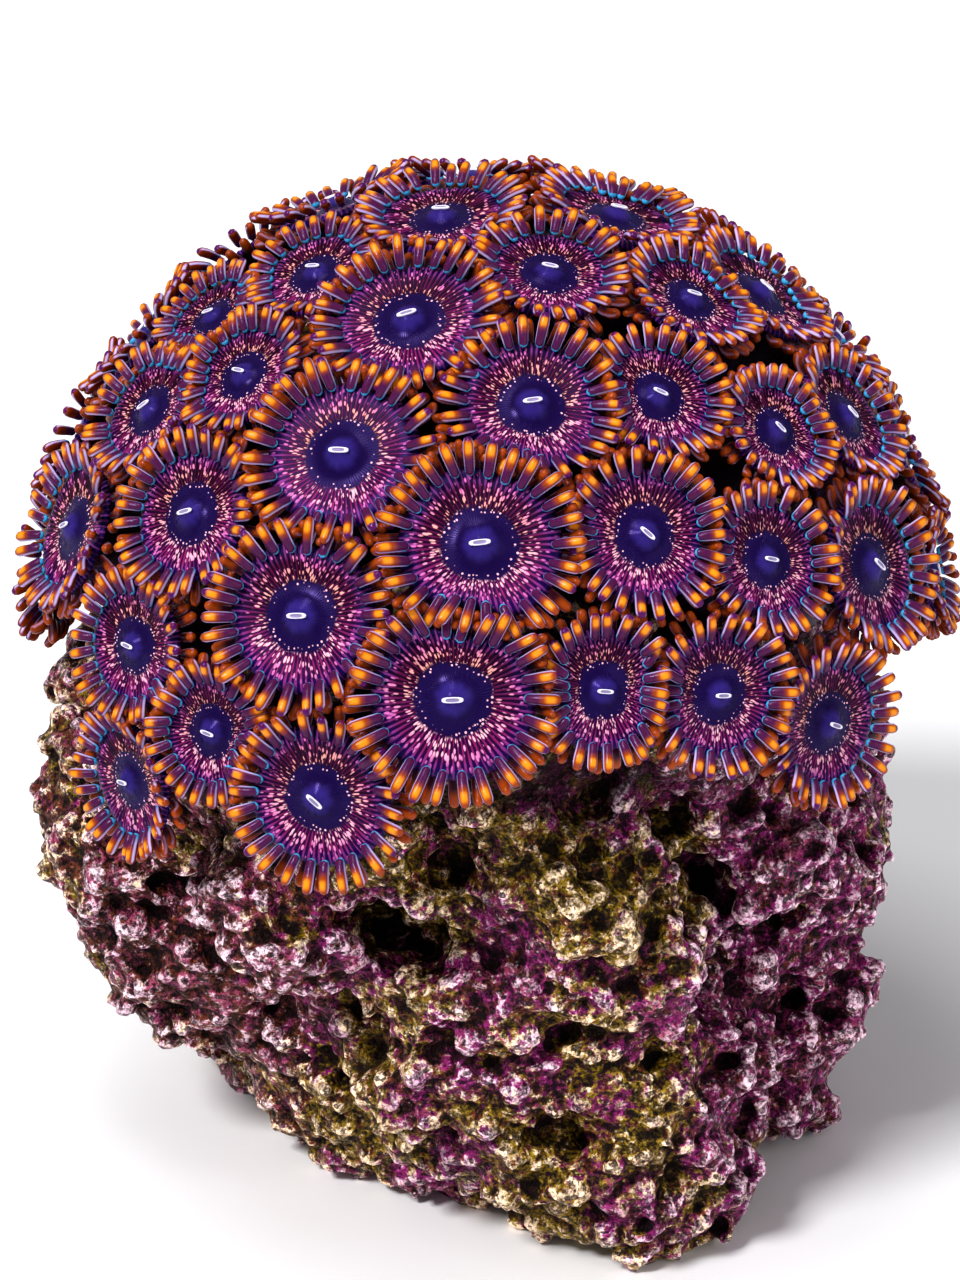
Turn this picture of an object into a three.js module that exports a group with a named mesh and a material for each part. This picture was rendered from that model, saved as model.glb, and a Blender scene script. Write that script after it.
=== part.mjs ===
// A zoanthid colony: button polyps packed over the domed top of a lump of reef rock.
// Millimetres, +Z up. The origin is on the flat underside of the rock, straight below the dome's centre.
// -Y is the side that the colony is looked at from.
import * as THREE from "three";
import { mergeVertices } from "three/addons/utils/BufferGeometryUtils.js";

// The dome that the polyps cover
const DOME_CENTRE = new THREE.Vector3(0.6, 0, 43.2);
const DISC_RADIUS = 33.9; // from the dome's centre to the oral discs
const FOOT_RADIUS = 27.1; // to the soles of the columns
const ROCK_RADIUS = 26.5; // to the rock under them

// The front polyps were measured on a plane through the point aimed at, square to this line of sight
const SIGHT_AIM = new THREE.Vector3(0, 0, 42.4);
const SIGHT_RISE = THREE.MathUtils.degToRad(25);
const SIGHT_DISTANCE = 420;
const LEAN_TO_SIGHT = 0.12; // how far most front polyps turn from the dome's normal towards that line

const REACH_SCALE = 1.06; // the tips bend back out of sight a little

// Each row: right of and above that point on that plane, and the reach of the tentacles. One that leans otherwise than
// most has its lean too, and how far it turns upward.
const FRONT_POLYPS = [
  [-2.9, 31.9, 6.4],
  [10.3, 32.0, 6.2],
  [-12.4, 27.7, 5.7],
  [5.2, 27.7, 6.0],
  [15.9, 25.7, 5.6],
  [21.2, 26.2, 6.1],
  [-20.2, 24.4, 5.0],
  [-5.4, 24.1, 7.2],
  [-17.9, 20.0, 5.6],
  [13.4, 18.4, 5.7],
  [3.9, 17.7, 7.0],
  [22.3, 15.8, 5.2],
  [27.6, 16.9, 5.7],
  [-24.9, 17.4, 5.9],
  [-10.4, 14.0, 7.5],
  [-30.7, 8.5, 6.4],
  [-21.8, 9.5, 6.5],
  [0.0, 7.2, 7.8],
  [12.4, 7.9, 6.5],
  [21.6, 6.0, 5.9],
  [29.5, 5.6, 6.6],
  [-26.1, -0.4, 5.9],
  [-13.5, 1.8, 7.4],
  [-20.2, -6.9, 5.6],
  [-2.0, -4.4, 7.9],
  [9.3, -3.8, 5.9],
  [18.0, -4.1, 6.2],
  [26.3, -6.3, 6.3],
  [-26.4, -10.6, 5.9, -0.06, 0.14],
  [-12.2, -11.9, 7.1],
];

// Each row: degrees round the dome from the front, degrees above its equator, and the reach of the tentacles
const REAR_POLYPS = [
  [82, 12, 5.0],
  [103, 5, 6.6],
  [124, 5, 6.8],
  [145, 8, 6.4],
  [167, 4, 7.0],
  [189, 6, 6.6],
  [211, 3, 7.0],
  [233, 6, 6.6],
  [256, 4, 6.8],
  [96, 24, 6.2],
  [117, 27, 6.6],
  [139, 26, 6.4],
  [161, 26, 6.8],
  [184, 25, 6.6],
  [207, 26, 7.0],
  [230, 26, 6.4],
  [254, 23, 6.9],
  [100, 40, 6.2],
  [122, 45, 6.4],
  [149, 46, 6.6],
  [176, 47, 6.4],
  [203, 46, 6.8],
  [230, 46, 6.4],
  [259, 40, 6.4],
  [142, 66, 6.6],
  [185, 67, 6.4],
  [232, 65, 6.6],
];

// A polyp, as shares of its reach
const MOUTH_RISE = 0.13;
const DISH_SHARE = 0.32;
const MARGIN_SHARE = 0.66;
const MARGIN_DROP = 0.05;
const GAP_SHARE = 0.45; // where the notch between two tentacles lies, from the margin to the tips
const SQUEEZED_RISE = 0.42; // how much of the reach lost to a neighbour the tentacles rise by
const UNDER_SHARE = 0.46;
const UNDER_DROP = 0.3;
const WAIST_SHARE = 0.3;
const WAIST_DROP = 0.6;
const FOOT_SHARE = 0.56;
const TENTACLES = 16;
const DISC_SIDES = 8;
const COLUMN_SIDES = 6;
const TENTACLE_LENGTH = 1.1; // the shortest that a crowded tentacle gets
const NEIGHBOUR_GAP = 0.3;
const SPIN = 0.7; // each polyp is turned by this about its axis, in radians, from the one before

// The rock, as lumps grown together: centre x, y, z and radius
const ROCK_CENTRE = new THREE.Vector3(0, 0, 25);
const ROCK_DETAIL = 8;
const ROCK_LUMPS = [
  // core
  [1, 4, 17, 22],
  // front buttress
  [7, -14, 14, 11],
  [12, -13, 6, 9.5],
  [3, -7, 6, 9],
  [0, -15, 25, 10],
  [9, -18, 28, 8.5],
  [7, -21, 33, 7],
  [-7, -1, 8, 9.5],
  [-2, -13, 16, 9.5],
  [16, -12, 16, 6.5],
  [-14, -17, 29, 6.5],
  // left shoulder
  [-23.5, -1, 29, 10],
  [-20, -1, 19, 9.5],
  [-15, 11, 8, 9.5],
  [-24, 9, 33, 8],
  // right shoulder
  [22, 0, 25.5, 9.5],
  [20, 0, 15, 9.5],
  [21, 2, 6, 8],
  [23, 4, 32, 8],
  [20, -12, 31, 6],
  // back
  [0, 17, 27, 11.5],
  [-12, 14, 14, 11],
  [12, 14, 13, 11.5],
  [-12, 16, 31, 10],
  [13, 16, 29, 10],
  [1, 16, 8, 10],
];
// Hollows worn into it, the same way
const ROCK_HOLLOWS = [
  [-6.5, -25.5, 28, 4.2],
  [21, -14, 20, 5],
  [5, -26, 14, 3.6],
  [18, -24, 33, 4.5],
  [-17, -14, 22, 4.5],
  [-4, -21, 7, 3.6],
  [19.5, -8, 3, 4.6],
  [-27, -13, 27, 4],
  [14, 25, 20, 4],
  [-10, 27, 22, 4],
];
const BARE_BELOW = THREE.MathUtils.degToRad(3); // above this the rock keeps to its dome
const OVERHANG_SLOPE = 70; // how fast it may swell out below that, in mm for each radian
const CLEARANCE = 1.1; // between the rock and the polyps that it doesn't hold
const CRAG_HEIGHT = 0.9;

const UP = new THREE.Vector3(0, 0, 1);

const rockStone = new THREE.MeshStandardMaterial({
  color: 0x7a5a72,
  roughness: 0.85,
  metalness: 0,
  flatShading: true,
});
const polypFlesh = new THREE.MeshStandardMaterial({
  color: 0x6a2a86,
  roughness: 0.35,
  metalness: 0,
  flatShading: true,
});

// A polyp's place: the centre of its disc, the way it faces and the reach of its tentacles.
function frontPlace([right, above, reach, lean = LEAN_TO_SIGHT, lift = 0]) {
  const sight = new THREE.Vector3(0, -Math.cos(SIGHT_RISE), Math.sin(SIGHT_RISE));
  const across = new THREE.Vector3(1, 0, 0);
  const upward = new THREE.Vector3().crossVectors(sight, across);
  const target = SIGHT_AIM.clone().addScaledVector(across, right).addScaledVector(upward, above);
  const eye = SIGHT_AIM.clone().addScaledVector(sight, SIGHT_DISTANCE);
  const ray = new THREE.Ray(eye, target.sub(eye).normalize());
  const dome = new THREE.Sphere(DOME_CENTRE, DISC_RADIUS);
  const hit = ray.intersectSphere(dome, new THREE.Vector3());
  const seen = hit ?? ray.closestPointToPoint(DOME_CENTRE, new THREE.Vector3());
  const normal = seen.clone().sub(DOME_CENTRE).normalize();
  const centre = DOME_CENTRE.clone().addScaledVector(normal, DISC_RADIUS);
  const nearness = eye.distanceTo(centre) / SIGHT_DISTANCE;
  const facing = normal.addScaledVector(sight, lean).addScaledVector(UP, lift).normalize();
  return { centre, facing, reach: reach * nearness * REACH_SCALE };
}

function rearPlace([turn, rise, reach]) {
  const turned = THREE.MathUtils.degToRad(turn);
  const raised = THREE.MathUtils.degToRad(rise);
  const level = Math.cos(raised);
  const facing = new THREE.Vector3(Math.sin(turned) * level, -Math.cos(turned) * level, Math.sin(raised));
  return { centre: facing.clone().multiplyScalar(DISC_RADIUS).add(DOME_CENTRE), facing, reach };
}

// The planes that part a polyp from its neighbours, each closer to the smaller of the two.
function fences(place, others) {
  return others
    .filter((other) => other !== place)
    .map((other) => {
      const away = other.centre.clone().sub(place.centre);
      const apart = away.length();
      const share = (apart + (place.reach ** 2 - other.reach ** 2) / apart) / 2;
      return { way: away.normalize(), distance: share - NEIGHBOUR_GAP / 2 };
    });
}

// A ring of points round the polyp's axis. radius and height are functions of the point's number.
function ring(place, walls, count, radius, height) {
  const side = new THREE.Vector3().crossVectors(UP, place.facing).normalize();
  const ahead = new THREE.Vector3().crossVectors(place.facing, side);
  return Array.from({ length: count }, (_, i) => {
    const turn = (i / count) * 2 * Math.PI + place.spin;
    const out = side.clone().multiplyScalar(Math.cos(turn)).addScaledVector(ahead, Math.sin(turn));
    const level = height(i, out);
    const far = Math.min(radius(i, out), roomTo(walls, place, out, level));
    return place.centre.clone().addScaledVector(out, far).addScaledVector(place.facing, level);
  });
}

// How far the polyp may spread along a direction at a height before it meets a fence.
function roomTo(walls, place, out, level) {
  let room = Infinity;
  for (const { way, distance } of walls) {
    const slope = out.dot(way);
    if (slope > 1e-3) room = Math.min(room, (distance - level * place.facing.dot(way)) / slope);
  }
  return room;
}

// Triangles that join a ring to the next one outward, or downward, each with its own count of points.
function stitch(inner, outer) {
  const faces = [];
  let i = 0;
  let j = 0;
  while (i < inner.length || j < outer.length) {
    const a = inner[i % inner.length];
    const b = outer[j % outer.length];
    const nextInner = i < inner.length ? (i + 0.5) / inner.length : Infinity;
    const nextOuter = j < outer.length ? (j + 0.5) / outer.length : Infinity;
    if (nextOuter <= nextInner) {
      j += 1;
      faces.push([a, b, outer[j % outer.length]]);
    } else {
      i += 1;
      faces.push([a, b, inner[i % inner.length]]);
    }
  }
  return faces;
}

function geometryOf(faces) {
  const numbers = faces.flat().flatMap((point) => point.toArray());
  const geometry = new THREE.BufferGeometry();
  geometry.setAttribute("position", new THREE.BufferAttribute(new Float32Array(numbers), 3));
  geometry.computeVertexNormals();
  return geometry;
}

// One polyp: mouth, dished disc, a crown of tentacles, and a waisted column that spreads at its foot.
function polyp(place, everyPlace) {
  const { reach, centre, facing } = place;
  const walls = fences(place, everyPlace);
  const level = (share) => () => share * reach;
  const crownRoom = (out) => Math.min(reach, roomTo(walls, place, out, 0));
  const margin = (out) => Math.min(MARGIN_SHARE * reach, crownRoom(out) - TENTACLE_LENGTH);
  const isTip = (i) => i % 2 === 0;
  const tipRadius = (i, out) => {
    const edge = margin(out);
    return isTip(i) ? crownRoom(out) : edge + GAP_SHARE * (crownRoom(out) - edge);
  };
  const tipHeight = (i, out) =>
    isTip(i) ? SQUEEZED_RISE * (reach - crownRoom(out)) : -2 * MARGIN_DROP * reach;
  const footDrop = DISC_RADIUS - FOOT_RADIUS;

  const mouth = centre.clone().addScaledVector(facing, MOUTH_RISE * reach);
  const dish = ring(place, walls, DISC_SIDES, () => DISH_SHARE * reach, level(0));
  const edge = ring(place, walls, TENTACLES, (_, out) => margin(out), level(-MARGIN_DROP));
  const crown = ring(place, walls, 2 * TENTACLES, tipRadius, tipHeight);
  const under = ring(place, walls, COLUMN_SIDES, () => UNDER_SHARE * reach, level(-UNDER_DROP));
  const waist = ring(place, walls, COLUMN_SIDES, () => WAIST_SHARE * reach, level(-WAIST_DROP));
  const foot = ring(place, walls, COLUMN_SIDES, () => FOOT_SHARE * reach, () => -footDrop);

  const faces = dish.map((point, i) => [mouth, point, dish[(i + 1) % dish.length]]);
  faces.push(...stitch(dish, edge));
  faces.push(...stitch(edge, crown));
  faces.push(...stitch(crown, under));
  faces.push(...stitch(under, waist));
  faces.push(...stitch(waist, foot));
  for (let i = 1; i < foot.length - 1; i += 1) faces.push([foot[0], foot[i + 1], foot[i]]);
  return new THREE.Mesh(geometryOf(faces), polypFlesh);
}

// How far a ray from the rock's centre runs to the far and the near side of a lump.
function crossings(out, [x, y, z, radius]) {
  const away = new THREE.Vector3(x, y, z).sub(ROCK_CENTRE);
  const along = out.dot(away);
  const inside = radius ** 2 - away.lengthSq() + along ** 2;
  if (inside < 0) return null;
  return { near: along - Math.sqrt(inside), far: along + Math.sqrt(inside) };
}

// A repeatable wobble from -1 to 1, which gives the crust its crags.
function crag(out) {
  const wave = Math.sin(out.x * 37.1 + out.y * 17.7) + Math.sin(out.y * 41.3 - out.z * 23.9);
  return (wave + Math.sin(out.z * 47.7 + out.x * 29.3)) / 3;
}

// The furthest that the rock may stand from the dome's centre.
function roomForRock(point) {
  const away = point.clone().sub(DOME_CENTRE);
  const rise = Math.asin(away.z / away.length());
  return ROCK_RADIUS + OVERHANG_SLOPE * Math.max(0, BARE_BELOW - rise);
}

// Whether a point lies in the funnel from a polyp's sole to its tips, or above it.
function meetsPolyp(point, { centre, facing, reach }) {
  const away = point.clone().sub(centre);
  const drop = -away.dot(facing);
  const footDrop = DISC_RADIUS - FOOT_RADIUS;
  if (drop > footDrop) return false;
  const radius = Math.sqrt(away.lengthSq() - drop ** 2);
  const spread = THREE.MathUtils.lerp(reach, FOOT_SHARE * reach, Math.max(0, drop) / footDrop);
  return radius < spread + CLEARANCE;
}

function rockReach(out, places) {
  const dome = [DOME_CENTRE.x, DOME_CENTRE.y, DOME_CENTRE.z, ROCK_RADIUS];
  let reach = 0;
  for (const lump of [dome, ...ROCK_LUMPS]) reach = Math.max(reach, crossings(out, lump)?.far ?? 0);
  for (const hollow of ROCK_HOLLOWS) {
    const cut = crossings(out, hollow);
    if (cut && cut.near < reach && reach < cut.far) reach = cut.near;
  }
  reach += CRAG_HEIGHT * crag(out);
  const step = 0.1;
  for (;;) {
    const point = ROCK_CENTRE.clone().addScaledVector(out, reach);
    const high = point.distanceTo(DOME_CENTRE) > roomForRock(point);
    if (!high && !places.some((place) => meetsPolyp(point, place))) return reach;
    reach -= step;
  }
}

// The rock is one closed skin around its centre, cut off flat where it rests.
function rock(places) {
  const sphere = new THREE.IcosahedronGeometry(1, ROCK_DETAIL);
  sphere.deleteAttribute("normal");
  sphere.deleteAttribute("uv");
  const geometry = mergeVertices(sphere, 1e-4);
  const skin = geometry.getAttribute("position");
  for (let i = 0; i < skin.count; i += 1) {
    const out = new THREE.Vector3().fromBufferAttribute(skin, i).normalize();
    const toGround = out.z < 0 ? -ROCK_CENTRE.z / out.z : Infinity;
    const reach = rockReach(out, places);
    const point = ROCK_CENTRE.clone().addScaledVector(out, Math.min(reach, toGround));
    skin.setXYZ(i, point.x, point.y, reach >= toGround ? 0 : point.z);
  }
  geometry.computeVertexNormals();
  return new THREE.Mesh(geometry, rockStone);
}

const places = [...FRONT_POLYPS.map(frontPlace), ...REAR_POLYPS.map(rearPlace)];
places.forEach((place, i) => {
  place.spin = SPIN * i;
});
const colony = new THREE.Group();
const stone = rock(places);
stone.name = "live_rock";
colony.add(stone);

places.forEach((place, i) => {
  const one = polyp(place, places);
  one.name = `polyp_${String(i + 1).padStart(2, "0")}`;
  colony.add(one);
});

export default colony;
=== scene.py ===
import math
from collections import namedtuple

import bpy
import numpy as np
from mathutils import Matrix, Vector
from mathutils.bvhtree import BVHTree
from mathutils.kdtree import KDTree


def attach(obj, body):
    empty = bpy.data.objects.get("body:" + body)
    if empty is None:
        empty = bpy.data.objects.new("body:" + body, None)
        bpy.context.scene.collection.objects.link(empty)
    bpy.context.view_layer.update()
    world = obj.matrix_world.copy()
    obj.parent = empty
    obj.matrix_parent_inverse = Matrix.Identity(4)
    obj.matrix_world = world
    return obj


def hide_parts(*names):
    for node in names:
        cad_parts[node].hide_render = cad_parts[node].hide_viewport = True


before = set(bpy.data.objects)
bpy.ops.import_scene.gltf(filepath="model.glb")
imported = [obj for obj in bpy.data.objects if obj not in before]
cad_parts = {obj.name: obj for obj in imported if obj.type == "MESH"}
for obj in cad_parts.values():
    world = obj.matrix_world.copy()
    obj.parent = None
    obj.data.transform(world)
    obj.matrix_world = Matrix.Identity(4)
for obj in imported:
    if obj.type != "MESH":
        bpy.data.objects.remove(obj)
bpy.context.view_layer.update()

bl_info = {
    "name": "Zoanthid colony",
    "version": (1, 0, 0),
    "blender": (4, 5, 0),
    "location": "3D View > Sidebar > Colony",
    "description": "Dresses a colony of button polyps and the reef rock that it grows on",
    "category": "Object",
}

MM = 0.001

# What the solids were built from, which places the detail on them
DOME_CENTRE = Vector((0.6, 0, 43.2)) * MM
DOME_SKIN = 26.6 * MM  # the rock's radius about that, under the polyps
FOOT_DROP = 6.8 * MM  # from a polyp's disc down to its sole
MOUTH_RISE = 0.13  # of a polyp's reach, above its disc
TAPER = 0.44  # how much narrower a polyp's space is at its sole, as a share of its reach
NEAR = 20 * MM  # polyps further apart than this don't touch

Polyp = namedtuple("Polyp", "name centre facing right ahead reach")


def colour(red, green, blue):
    """A shade given in the 0 to 255 of a colour picker, as Blender's linear numbers."""
    return tuple(
        (c / 255 / 12.92) if c <= 10 else ((c / 255 + 0.055) / 1.055) ** 2.4 for c in (red, green, blue)
    )


def length(name, description, default_mm):
    return bpy.props.FloatProperty(
        name=name, description=description, default=default_mm * MM, min=0, unit="LENGTH", precision=5
    )


def share(name, description, default):
    return bpy.props.FloatProperty(name=name, description=description, default=default, min=0, max=2)


def count(name, description, default):
    return bpy.props.IntProperty(name=name, description=description, default=default, min=1)


def shade(name, description, red, green, blue):
    return bpy.props.FloatVectorProperty(
        name=name, description=description, default=colour(red, green, blue), subtype="COLOR", min=0, max=1
    )


class PolypSettings(bpy.types.PropertyGroup):
    segments: count("Segments", "Points round a disc", 120)
    disc_share: share("Disc", "Radius of an open disc, as a share of its polyp's reach", 0.70)
    ridges: count("Ridges", "Fine ridges that run out over a disc", 60)
    ridge_height: length("Ridge height", "How far the ridges stand out", 0.05)
    rays: count("Rays", "Rays of flecks round a disc", 72)
    lip_length: length("Lip length", "Length of the pale lips of the mouth", 1.42)
    lip_width: length("Lip width", "Width across the lips", 0.40)
    cone: shade("Mouth cone", "Raised cone round the mouth", 58, 43, 126)
    centre: shade("Centre", "Smooth middle of the disc", 28, 12, 66)
    # Ground, flecks and rim come in two copies: a lighter one with painted light for the lower half of each
    # disc, and a darker one with painted shade for its upper half
    ground: shade("Ground", "Disc between its rays, lower half", 44, 4, 50)
    ground_shaded_above: shade("Ground above", "The same, upper half", 32, 2, 18)
    ray: shade("Rays", "Rays that the flecks lie along", 150, 38, 104)
    fleck_pale: shade("Pale flecks", "Flecks near the centre", 255, 194, 208)
    # painted shade: the flecks' darker copy for the upper half of each disc
    fleck_shaded_above: shade("Flecks above", "Flecks on the upper half", 244, 170, 156)
    fleck_deep: shade("Deep flecks", "Flecks near the rim", 216, 112, 182)
    rim: shade("Rim", "Disc near the tentacles, lower half", 32, 9, 78)
    # painted shade: the rim's darker copy for the upper half of each disc
    rim_shaded_above: shade("Rim above", "The same, upper half", 18, 6, 50)
    rim_ray: shade("Rim rays", "Rays that run out over the rim", 142, 66, 146)
    # Column: the columns' own colour, darkened as painted shade for the gaps between the polyps
    column: shade("Column", "Skin of the columns", 36, 14, 26)
    lips: shade("Lips", "Lips of the mouth", 236, 232, 250)
    slit: shade("Slit", "Slit between the lips", 138, 128, 160)


class TentacleSettings(bpy.types.PropertyGroup):
    fewest: count("Fewest", "Tentacles in a row before the reach adds to them", 22)
    more: share("More", "Tentacles that each millimetre of the reach adds", 0.55)
    width: length("Width", "Across a tentacle", 0.77)
    longest: length("Longest", "Longest tentacle", 2.9)
    length_share: share("Length", "Length of a tentacle, as a share of the reach", 0.37)
    least_run: length("Least run", "Least that a crowded tentacle reaches outward", 1.35)
    overlap: length("Overlap", "How far a tentacle reaches past the line between two polyps", 1.35)
    base: shade("Base", "Lower half", 78, 24, 68)
    band: shade("Band", "Bright band", 150, 64, 7)
    # painted highlight: the lighter, yellower middle of the band on top of each tentacle
    band_highlight: shade("Band top", "Middle of the band on top", 238, 146, 24)
    # painted shade: the darker orange where the band turns round the sides of each tentacle, also on the
    # sides of the lower row
    band_edge_shade: shade("Band edge", "Where the band turns round the sides", 128, 42, 6)
    tip: shade("Tip", "Tip", 84, 18, 84)
    # painted rim glow: the pale line down each side and the cyan line round the lower end stand in for the
    # bright edges of the translucent tentacle
    line: shade("Line", "Fine pale line along the sides", 206, 190, 242)
    rim_glow_base: shade("Line at the base", "Line round the lower end", 64, 180, 232)
    # Under row: the lower row's own orange, darkened as painted shade beneath the upper row
    under: shade("Under row", "Tips of the lower row", 158, 70, 7)
    under_base: shade("Under row base", "Rest of the lower row", 50, 14, 30)


class RockSettings(bpy.types.PropertyGroup):
    grain: length("Grain", "Edge of the mesh that the rock is cut to", 0.44)
    triangles: count("Triangles", "What the rock is thinned to at the end", 196000)
    knobs: count("Knobs", "Large knobs of crust on the rock", 2100)
    beads: count("Beads", "Small knobs of crust on the rock", 5200)
    pits: count("Pits", "Small holes in the crust", 420)
    purple: shade("Purple crust", "Coralline crust", 128, 26, 98)
    mauve: shade("Mauve crust", "Older crust", 138, 60, 86)
    # painted highlight: the pale crust is painted on the tops of the knobs and ridges and as small glints,
    # where the light catches the crust
    pale: shade("Pale crust", "Growing edges of the crust", 255, 220, 236)
    olive: shade("Olive film", "Green film of algae", 124, 100, 10)
    # painted highlight: the colour of the tops and glints where the olive film lies
    cream: shade("Cream", "Worn tops under the film", 252, 222, 190)
    brown: shade("Brown film", "Bare brown rock", 92, 42, 24)
    # painted shade: the near-black painted into pits, crevices and broad hollows, and just under the polyps
    hollow: shade("Hollow", "Depths of the pits", 9, 2, 3)


class StudioSettings(bpy.types.PropertyGroup):
    camera_rise: bpy.props.FloatProperty(
        name="Camera rise", description="Above the level", default=math.radians(25), subtype="ANGLE"
    )
    camera_distance: length("Camera distance", "From the point aimed at", 420)
    aim_height: length("Aim height", "Point that the camera looks at", 42.4)
    frame_height: length("Frame height", "What the picture spans at that point", 96.6)
    backdrop: shade("Backdrop", "Floor and background", 250, 250, 252)


def deselect():
    bpy.ops.object.select_all(action="DESELECT")


def only(thing):
    deselect()
    thing.select_set(True)
    bpy.context.view_layer.objects.active = thing


def make_object(name, mesh):
    made = bpy.data.objects.new(name, mesh)
    bpy.context.scene.collection.objects.link(made)
    return made


def corners(mesh):
    """The places of a mesh's vertices, a row each."""
    places = np.empty(len(mesh.vertices) * 3)
    mesh.vertices.foreach_get("co", places)
    return places.reshape(-1, 3)


def place_corners(mesh, places):
    mesh.vertices.foreach_set("co", np.asarray(places, float).ravel())
    mesh.update()


def faces_of(mesh):
    return [tuple(face.vertices) for face in mesh.polygons]


def make_mesh(name, places, faces):
    mesh = bpy.data.meshes.new(name)
    mesh.from_pydata(places.reshape(-1, 3).tolist(), [], faces)
    return mesh


def tree_of(points):
    """A tree that finds the points near a place."""
    tree = KDTree(len(points))
    for i, point in enumerate(points):
        tree.insert(point, i)
    tree.balance()
    return tree


def give(mesh, name, values):
    """Gives each point of the mesh a number or a vector."""
    values = np.asarray(values, float)
    kind, key = ("FLOAT", "value") if values.ndim == 1 else ("FLOAT_VECTOR", "vector")
    mesh.attributes.new(name, kind, "POINT").data.foreach_set(key, values.ravel())


def smooth(low, high, value):
    t = np.clip((value - low) / (high - low), 0, 1)
    return t * t * (3 - 2 * t)


def dress(piece, material, node):
    """The last steps for a piece that stands for a solid."""
    piece.data.materials.clear()
    piece.data.materials.append(material)
    piece.data.shade_smooth()
    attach(piece, "root")
    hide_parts(node)


# Where the polyps are


def read_polyp(name):
    """A polyp's place and size, from its solid. The sole is the flat face nearest the dome's centre."""
    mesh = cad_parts[name].data
    points = [v.co for v in mesh.vertices]
    sole = min(mesh.polygons, key=lambda face: (face.center - DOME_CENTRE).length)
    facing = -sole.normal.normalized()
    heights = [(p - sole.center).dot(facing) for p in points]
    middle = sum(points, Vector()) / len(points)

    def off_axis(i):
        away = points[i] - middle
        return (away - facing * away.dot(facing)).length

    mouth = min((i for i in range(len(points)) if heights[i] > FOOT_DROP + 0.3 * MM), key=off_axis)
    reach = (heights[mouth] - FOOT_DROP) / MOUTH_RISE
    centre = points[mouth] - facing * (MOUTH_RISE * reach)
    across = Vector((1, 0, 0))
    right = (across - facing * across.dot(facing)).normalized()
    return Polyp(name, centre, facing, right, facing.cross(right), reach)


POLYPS = [read_polyp(name) for name in sorted(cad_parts) if name.startswith("polyp_")]


def neighbour_planes(polyp):
    """The planes that part a polyp from those beside it: directions, and distances from its centre."""
    ways = []
    distances = []
    for other in POLYPS:
        away = other.centre - polyp.centre
        apart = away.length
        if 0 < apart < NEAR:
            ways.append(away / apart)
            distances.append((apart + (polyp.reach**2 - other.reach**2) / apart) / 2)
    return np.array(ways), np.array(distances)


def outward(polyp, turns):
    """Unit directions over the disc, a row for each turn about its axis."""
    return np.outer(np.cos(turns), polyp.right) + np.outer(np.sin(turns), polyp.ahead)


def room(polyp, turns, level=0.0):
    """How far the polyp may spread in each direction before it meets a neighbour."""
    ways, distances = neighbour_planes(polyp)
    slopes = outward(polyp, turns) @ ways.T
    spare = distances - level * (ways @ np.array(polyp.facing))
    reaches = np.where(slopes > 0.01, spare / np.maximum(slopes, 0.01), 1.0)
    return reaches.min(axis=1)


ROUND = np.linspace(0, 2 * np.pi, 180, endpoint=False)


def rim_radius(polyp, turns, settings, fingers):
    """The disc's radius in each direction: round, and pulled in where neighbours crowd it."""
    free = settings.disc_share * polyp.reach
    crowded = np.minimum(room(polyp, ROUND), polyp.reach) - fingers.least_run
    raw = np.minimum(free, crowded)
    weights = np.exp(-0.5 * (np.arange(-12, 13) / 5) ** 2)
    padded = np.concatenate([raw[-12:], raw, raw[:12]])
    even = np.convolve(padded, weights / weights.sum(), mode="valid")
    return np.interp(np.mod(turns, 2 * np.pi), ROUND, even, period=2 * np.pi)


# Oral discs and columns

# Across the disc: share of the rim's radius, and height as a share of the reach
DISC_ROWS = [
    (0.00, 0.125), (0.05, 0.118), (0.11, 0.098), (0.17, 0.070), (0.23, 0.040), (0.30, 0.015),
    (0.38, 0.000), (0.46, -0.008), (0.54, -0.010), (0.62, -0.008), (0.70, -0.003), (0.78, 0.003),
    (0.86, 0.008), (0.93, 0.006), (0.98, 0.000), (1.03, -0.014), (1.08, -0.050),
]
# Down the column: radius as a share of the reach, and depth as a share of the way to the sole
COLUMN_ROWS = [
    (0.62, 0.10), (0.50, 0.17), (0.39, 0.29), (0.33, 0.45), (0.32, 0.62), (0.36, 0.80),
    (0.46, 0.93), (0.56, 1.00), (0.60, 1.10),
]
# How the slits of the mouths lie where the photograph shows it, in degrees from level. The others vary.
SLIT_TURNS = {15: -8, 18: 6, 19: -38, 20: -4, 23: 0, 24: -12, 25: 2, 26: -5, 27: -3, 30: -38}


def template_rows(disc_share):
    """The rings of one plain polyp of unit reach: radius and height."""
    rows = [(t * disc_share, level) for t, level in DISC_ROWS]
    return rows + [(radius, -depth) for radius, depth in COLUMN_ROWS]


def model_body(settings):
    """One plain polyp, drawn out ring by ring from a circle round its mouth."""
    rows = template_rows(settings.disc_share)
    deselect()
    bpy.ops.mesh.primitive_circle_add(
        vertices=settings.segments, radius=rows[1][0], fill_type="TRIFAN", location=(0, 0, 0)
    )
    body = bpy.context.object
    bpy.ops.object.mode_set(mode="EDIT")
    bpy.ops.mesh.select_mode(type="EDGE")
    bpy.ops.mesh.select_all(action="DESELECT")
    bpy.ops.mesh.select_non_manifold()
    for (radius, level), (wider, lower) in zip(rows[1:], rows[2:]):
        bpy.ops.mesh.extrude_region_move(TRANSFORM_OT_translate={"value": (0, 0, lower - level)})
        bpy.ops.transform.resize(value=(wider / radius, wider / radius, 1), center_override=(0, 0, 0))
    bpy.ops.mesh.edge_face_add()
    bpy.ops.object.mode_set(mode="OBJECT")
    return body


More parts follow.
